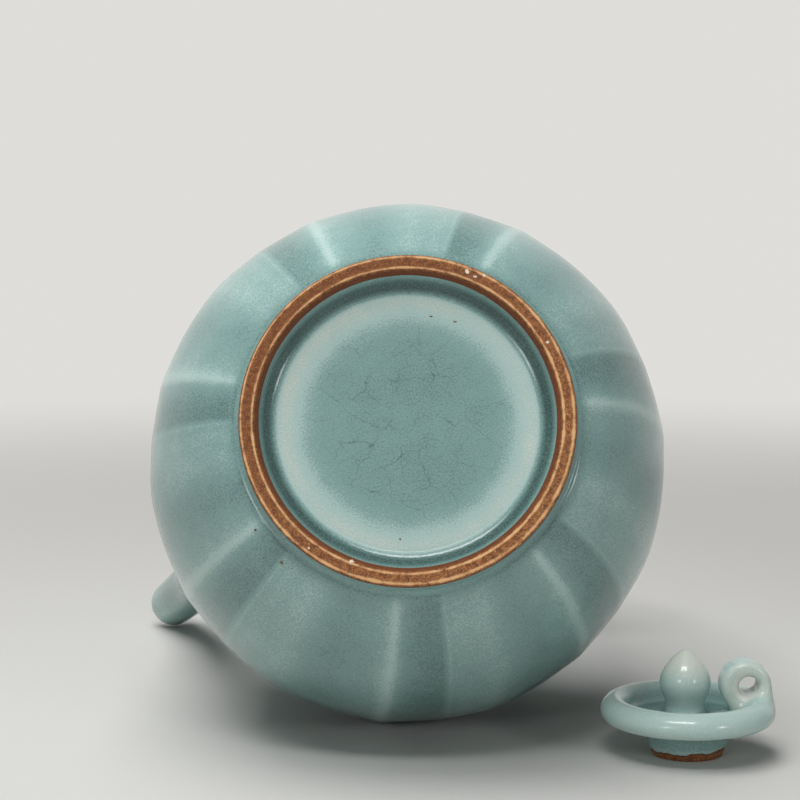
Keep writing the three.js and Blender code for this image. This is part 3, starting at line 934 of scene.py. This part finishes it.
def spout_field(own):
    """Distance from the bored spout, cut square at its tip and seated on the shoulder."""
    share, outward = beside_curve(own, SPOUT_SAMPLES, -1)
    away = np.hypot(outward, own[:, 1])
    radius = mix(SPOUT_ROOT_RADIUS, SPOUT_TIP_RADIUS, np.clip(share, 0, 1) ** SPOUT_TAPER)
    tip, ahead = SPOUT_SAMPLES[0][-1], SPOUT_SAMPLES[1][-1]
    past_tip = (-own[:, 0] - tip[0]) * ahead[0] + (own[:, 2] - tip[1]) * ahead[1]
    body = ewer_field(own)
    tube = kept(flowing(away - radius, body, SPOUT_FLOW), past_tip, SPOUT_TIP_EDGE)
    tube = kept(tube, radius - SPOUT_WALL - away, SPOUT_BORE_EDGE)
    return np.maximum(tube, -(body + SPOUT_SUNK))


def strap_field(own):
    """Distance from the handle's oval strap."""
    _, outward = beside_curve(own, HANDLE_SAMPLES)
    half = np.array([HANDLE_THICKNESS / 2, HANDLE_WIDTH / 2])
    offset = np.stack([outward, own[:, 1]], 1)
    near = np.linalg.norm(offset / half, axis=1)
    spread = np.linalg.norm(offset / half ** 2, axis=1)
    return near * (near - 1) / np.maximum(spread, 1e-6)


def handle_field(own):
    """Distance from the handle, whose two ends flow out onto the bulbs."""
    return luted(strap_field(own), ewer_field(own), HANDLE_FLOW, 1.0)


def ring_field(own):
    """Distance from a cord ring round the origin, with its hole along Y and off centre."""
    flat = np.hypot(own[:, 0], own[:, 2])
    near_hole = np.clip((RING_RADIUS - flat) / (RING_RADIUS - RING_HOLE_RADIUS), 0, 1)
    radius = np.hypot(own[:, 0] - RING_HOLE_SHIFT * near_hole, own[:, 2])
    half_radial = (RING_RADIUS - RING_HOLE_RADIUS) / 2
    radial = np.abs(radius - RING_HOLE_RADIUS - half_radial) - half_radial + RING_EDGE
    axial = np.abs(own[:, 1]) - RING_WIDTH / 2 + RING_EDGE
    outside = np.hypot(np.maximum(radial, 0), np.maximum(axial, 0))
    return outside + np.minimum(np.maximum(radial, axial), 0) - RING_EDGE


def ring_thickness(own):
    """Thin glaze on the ring's two faces and at its hole."""
    flat = np.hypot(own[:, 0], own[:, 2])
    face = smooth_step(2.2, 4.4, np.abs(own[:, 1]))
    return LID_PALENESS - 0.25 * face * (1 - smooth_step(7, 9, flat)) - 0.3 * hump(flat - 3.2, 0.8)


def handle_ring_place():
    """Centre of the ring that stands on the handle's back."""
    points, along, _ = HANDLE_SAMPLES
    index = round(HANDLE_RING_PLACE * (len(points) - 1))
    off = HANDLE_THICKNESS / 2 + RING_RADIUS - RING_SINK
    at, ahead = points[index], along[index]
    return np.array([at[0] + ahead[1] * off, 0, at[1] - ahead[0] * off])


def make_spout():
    own, faces = surface_net(spout_field, *SPOUT_REGION, STRAP_CELL)
    share, _ = beside_curve(own, SPOUT_SAMPLES, -1)
    at_tip = 0.55 * smooth_step(0.8, 0.98, share) + 0.4 * smooth_step(0.965, 1.0, share)
    thick = 0.15 - at_tip + 0.3 * hump(ewer_field(own) - 4, 3.0)
    values = {"thick": glaze_luted(own, thick), "crazed": 0.15}
    return make_piece("ewer_spout", own, faces, EWER, values, BODY_GLAZE,
                      "celadon_glaze", "ewer", "spout")


def make_handle():
    own, faces = surface_net(handle_field, *HANDLE_REGION, STRAP_CELL)
    off_middle = np.abs(own[:, 1])
    thick = 0.12 - 0.5 * smooth_step(5.2, 7.8, off_middle) + 0.3 * hump(ewer_field(own) - 4, 3.0)
    values = {"thick": glaze_luted(own, thick), "crazed": 0.15}
    return make_piece("ewer_handle", own, faces, EWER, values, BODY_GLAZE,
                      "celadon_glaze", "ewer", "handle")


def make_handle_loop():
    place = handle_ring_place()

    def field(own):
        return luted(ring_field(own - place), strap_field(own), RING_FLOW * 0.6, 0.8)

    reach = np.array([RING_RADIUS, RING_WIDTH / 2, RING_RADIUS]) + 5
    own, faces = surface_net(field, place - reach, place + reach, RING_CELL)
    values = {"thick": ring_thickness(own - place) + 0.6, "crazed": 0.05}
    return make_piece("ewer_handle_loop", own, faces, EWER, values, LID_GLAZE,
                      "celadon_glaze", "ewer", "handle_loop")


# Pieces of the lid

def dish_field(own):
    """Saucer with a thick rolled rim, a little uneven as it was turned and pressed."""
    azimuth = np.arctan2(own[:, 1], own[:, 0])
    radius = np.hypot(own[:, 0], own[:, 1]) + RIM_UNEVEN_RADIUS * np.sin(3 * azimuth + 0.6)
    lifted = RIM_UNEVEN_HEIGHT * np.sin(2 * azimuth + 2.2)
    height = own[:, 2] - lifted * smooth_step(12, 22, radius)
    lip, edge = (
        np.hypot(radius - RIM_RADIUS - out, height - RIM_HEIGHT - up) - size
        for out, up, size in (RIM_LIP, RIM_EDGE)
    )
    roll = joined(lip, edge, 2.0)
    inner_edge = RIM_RADIUS - RIM_ROLL_RADIUS
    underside = mix(DISH_BOTTOM, RIM_HEIGHT - RIM_ROLL_RADIUS, np.clip((radius - inner_edge) / 3, 0, 2))
    disc = np.maximum(np.maximum(underside - height, height - DISH_TOP), radius - RIM_RADIUS)
    return joined(roll, disc, mix(0.4, 3.4, smooth_step(DISH_BOTTOM + 1, DISH_TOP, height)))


def bud_side():
    """Side of the pointed bud, which goes on past the tip so that a field made from it closes."""
    middle = (BUD_RADIUS, BUD_MID_HEIGHT)
    lower = sway((BUD_FOOT_RADIUS, BUD_FOOT_HEIGHT), BUD_FOOT_SOFTNESS, middle, BUD_FULLNESS_BELOW, 40)
    upper = bezier(middle, (BUD_RADIUS, BUD_MID_HEIGHT + BUD_FULLNESS_ABOVE),
                   (BUD_TIP_RADIUS, BUD_TIP_HEIGHT - BUD_TIP_DROP), (0, BUD_TIP_HEIGHT), 160)
    side = np.vstack([lower, upper[1:]])
    return np.vstack([side, side[-1] + (side[-1] - side[-2]) * 200])


BUD_SIDE = bud_side()


def bud_field(own):
    """Distance from the bud."""
    radius = np.hypot(own[:, 0] - BUD_SHIFT, own[:, 1])
    outside = np.interp(own[:, 2], BUD_SIDE[:, 1], BUD_SIDE[:, 0])
    return (radius - outside) / steepness(BUD_SIDE, own[:, 2], 1e-4)


def dish_glaze_and_shade(own):
    """Thin glaze on the rim, darker on the floor, where pooled glaze and painted shade inside the dish
    are laid together, and a paler streak on the slope between them.
    """
    radius = np.hypot(own[:, 0], own[:, 1])
    azimuth = np.degrees(np.arctan2(own[:, 1], own[:, 0]))
    beside_streak = (azimuth - STREAK_AZIMUTH + 180) % 360 - 180
    on_top = own[:, 2] > DISH_TOP - 1
    # The floor's darkening is pooled glaze together with painted shade inside the dish.
    floor = on_top * (1 - smooth_step(15, 20.5, radius))
    streak = on_top * hump(radius - 17.2, 2.2) * hump(beside_streak, 26)
    return LID_PALENESS + 1.25 * floor - 1.3 * streak


def make_lid_dish():
    reach = RIM_RADIUS + RIM_ROLL_RADIUS + 1.2
    low, high = (-reach, -reach, DISH_BOTTOM - 1), (reach, reach, RIM_HEIGHT + RIM_ROLL_RADIUS + 1)
    own, faces = surface_net(dish_field, low, high, DISH_CELL)
    values = {"thick": dish_glaze_and_shade(own), "crazed": 0.05}
    return make_piece("lid_dish_glazed", own, faces, LID, values, LID_GLAZE,
                      "celadon_glaze", "lid", "lid_dish")


def glaze_on_dish(own, thick):
    """Glaze of a piece luted onto the dish, which passes into the dish's own."""
    return mix(dish_glaze_and_shade(own), thick, smooth_step(0.1, 1.8, dish_field(own)))


def make_lid_bud():
    def field(own):
        return luted(bud_field(own), dish_field(own), BUD_FLOW, 0.7)

    low, high = (BUD_SHIFT - 12, -12, DISH_TOP - 1.6), (BUD_SHIFT + 12, 12, BUD_TIP_HEIGHT + 0.8)
    own, faces = surface_net(field, low, high, BUD_CELL)
    azimuth = np.arctan2(own[:, 1], own[:, 0] - BUD_SHIFT)
    streak = 0.5 + 0.5 * np.sin(7 * azimuth + 0.8)
    tip = smooth_step(BUD_MID_HEIGHT, BUD_TIP_HEIGHT, own[:, 2])
    foot = 1 - smooth_step(DISH_TOP, DISH_TOP + 3.5, own[:, 2])
    thick = LID_PALENESS + 0.45 * foot - 0.6 * tip * mix(0.75, 1.1, streak)
    values = {"thick": glaze_on_dish(own, thick), "crazed": 0.05}
    return make_piece("lid_bud_glazed", own, faces, LID, values, LID_GLAZE,
                      "celadon_glaze", "lid", "lid_bud")


def make_lid_loop():
    place = np.array([LID_RING_REACH, 0, DISH_TOP + RING_RADIUS + RING_SINK])

    def field(own):
        return luted(ring_field(own - place), dish_field(own), RING_FLOW, 0.7)

    low, high = place - (15, 12, 13), place + (15, 12, RING_RADIUS + 2)
    own, faces = surface_net(field, low, high, RING_CELL)
    values = {"thick": glaze_on_dish(own, ring_thickness(own - place)), "crazed": 0.05}
    return make_piece("lid_loop_glazed", own, faces, LID, values, LID_GLAZE,
                      "celadon_glaze", "lid", "lid_loop")


def make_lid_plug():
    profile = np.vstack([
        [(0, 0.0)],
        straight((1.0, 0.0), (PLUG_END_RADIUS - 0.9, 0.0), 10),
        arc((PLUG_END_RADIUS - 0.8, 0.8), 0.8, -80, 0, 6),
        bezier((PLUG_END_RADIUS, 0.9), (PLUG_END_RADIUS + 0.7, 2.6),
               (PLUG_TOP_RADIUS - 0.5, 5.4), (PLUG_TOP_RADIUS, PLUG_HEIGHT - 1.0), 24)[1:],
        arc((PLUG_TOP_RADIUS + 1.1, PLUG_HEIGHT - 0.9), 1.1, 176, 95, 6),
        [(PLUG_TOP_RADIUS, DISH_BOTTOM + 0.6), (0, DISH_BOTTOM + 0.6)],
    ])
    own, faces = revolved(profile, PLUG_COLUMNS)
    height = own[:, 2]
    values = {
        "thick": -0.2 - 0.4 * hump(height - 2.6, 0.9) + 0.25 * hump(height - 8.4, 1.2),
        "crazed": 0.05, "worn": 0.3, "burnt": 0.25, "line": 0.4, "wavy": 3.6,
    }
    return make_piece("lid_plug_part_glazed", own, faces, LID, values, PART_GLAZED,
                      "bare_clay", "lid", "lid_plug")


for make in (make_foot_ring, make_lower_bulb, make_upper_bulb, make_mouth, make_spout, make_handle,
             make_handle_loop, make_lid_dish, make_lid_bud, make_lid_loop, make_lid_plug):
    make()


# Floor, lights and camera

FLOOR_HALF_WIDTH = 3.0
FLOOR_FRONT = -2.0
WALL_DISTANCE = 1.6
SWEEP_RADIUS = 0.6
WALL_TOP = 2.4
FADE_START = 0.22
FADE_END = 0.95
TOOTH_SIZE = 0.004
TOOTH_DEPTH = 0.0001
FLOOR_COLOUR = srgb(205, 204, 201)
BACKDROP_COLOUR = srgb(222, 221, 218)

WORLD_LIGHT = 0.04
WORLD_SEEN = 0.5

# Two small lamps stand in front, one at each side, and the glaze mirrors them. A fill at the same
# place adds light that it doesn't mirror. Sizes are in metres and powers in watts.
FRONT_LAMPS_AIM = (0.04, -0.1, 0.05)
FRONT_LAMPS = (("left", (-0.43, -0.86, 0.28)), ("right", (0.62, -0.8, 0.28)))
LAMP_SIZE, LAMP_POWER = 0.15, 0.7
FILL_SIZE, FILL_POWER = 0.2, 0.5

CAMERA_FROM_BELLY = (-0.0022, -0.718, 0.178)
CAMERA_PITCH = 6.17
CAMERA_LENS = 105.0


def seen_rays(g):
    """One for what the camera sees, straight or by gloss or glass, and nought for other light."""
    path = g.add("LightPath").outputs
    seen = g.math("MAXIMUM", path["Is Camera Ray"], path["Is Glossy Ray"])
    return g.math("MAXIMUM", seen, path["Is Transmission Ray"])


def make_floor():
    """Pale floor that sweeps up into a backdrop."""
    bend = arc((WALL_DISTANCE - SWEEP_RADIUS, SWEEP_RADIUS), SWEEP_RADIUS, -90, 0, 24)
    profile = np.vstack([[(FLOOR_FRONT, 0)], bend, [(WALL_DISTANCE, WALL_TOP)]])
    corners = [(side * FLOOR_HALF_WIDTH, y, z) for y, z in profile for side in (-1, 1)]
    faces = [(2 * i, 2 * i + 1, 2 * i + 3, 2 * i + 2) for i in range(len(profile) - 1)]
    mesh = bpy.data.meshes.new("floor")
    mesh.from_pydata(corners, [], faces)
    mesh.shade_smooth()
    g = Graph(bpy.data.materials.new("floor_paper"))
    shader = g.tree.nodes["Principled BSDF"]
    place = g.add("TexCoord").outputs["Object"]
    tooth = g.noise(place, size=TOOTH_SIZE, detail=4.0, roughness=0.7)["Fac"]
    normal = g.add("Bump", {"Height": tooth, "Distance": TOOTH_DEPTH}).outputs[0]
    g.set(shader, {"Base Color": (*FLOOR_COLOUR, 1), "Roughness": 0.85, "Normal": normal})
    away = g.add("VectorMath", {0: place}, operation="LENGTH").outputs["Value"]
    faded = g.math("MULTIPLY", seen_rays(g), g.remap(away, FADE_START, FADE_END, smooth=True))
    glow = g.add("Emission", {"Color": (*BACKDROP_COLOUR, 1)}).outputs[0]
    blend = g.add("MixShader", {0: faded, 1: shader.outputs[0], 2: glow}).outputs[0]
    g.set(g.tree.nodes["Material Output"], {"Surface": blend})
    mesh.materials.append(g.owner)
    floor = bpy.data.objects.new("floor", mesh)
    bpy.context.scene.collection.objects.link(floor)


def make_lamp(name, place, aim, width, height, power, mirrored):
    """Oblong lamp, which the glaze mirrors or not."""
    lamp = bpy.data.lights.new(name, "AREA")
    lamp.shape = "RECTANGLE"
    lamp.size, lamp.size_y = width, height
    lamp.energy = power
    holder = bpy.data.objects.new(name, lamp)
    holder.location = place
    holder.rotation_euler = (Vector(aim) - Vector(place)).to_track_quat("-Z", "Y").to_euler()
    holder.visible_glossy = mirrored
    bpy.context.scene.collection.objects.link(holder)


def make_world():
    """Even light, and a pale background for the camera and for reflections."""
    g = Graph(bpy.data.worlds.new("studio"))
    level = g.remap(seen_rays(g), 0.0, 1.0, WORLD_LIGHT, WORLD_SEEN)
    g.set(g.tree.nodes["Background"], {"Color": (1, 1, 1, 1), "Strength": level})
    bpy.context.scene.world = g.owner


def make_camera():
    origin, axes = EWER
    belly = (origin + axes[2] * BELLY_HEIGHT) * MM
    camera = bpy.data.objects.new("camera", bpy.data.cameras.new("camera"))
    camera.data.lens = CAMERA_LENS
    camera.data.clip_start = 0.01
    camera.location = Vector((belly[0], belly[1], 0)) + Vector(CAMERA_FROM_BELLY)
    camera.rotation_euler = (math.radians(90 - CAMERA_PITCH), 0, 0)
    bpy.context.scene.collection.objects.link(camera)
    bpy.context.scene.camera = camera


make_floor()
make_lamp("softbox", place=(-0.22, 0.0, 0.9), aim=(0.0, 0.0, 0.08),
          width=0.9, height=0.7, power=8.5, mirrored=False)
make_lamp("front_panel", place=(-0.12, -0.66, 0.92), aim=(0.0, -0.1, 0.08),
          width=0.5, height=0.16, power=3.2, mirrored=True)
for side, place in FRONT_LAMPS:
    make_lamp(side + "_lamp", place, FRONT_LAMPS_AIM, LAMP_SIZE, LAMP_SIZE, LAMP_POWER, mirrored=True)
    make_lamp(side + "_fill", place, FRONT_LAMPS_AIM, FILL_SIZE, FILL_SIZE, FILL_POWER, mirrored=False)
make_world()
make_camera()
bpy.context.scene.view_settings.view_transform = "Standard"
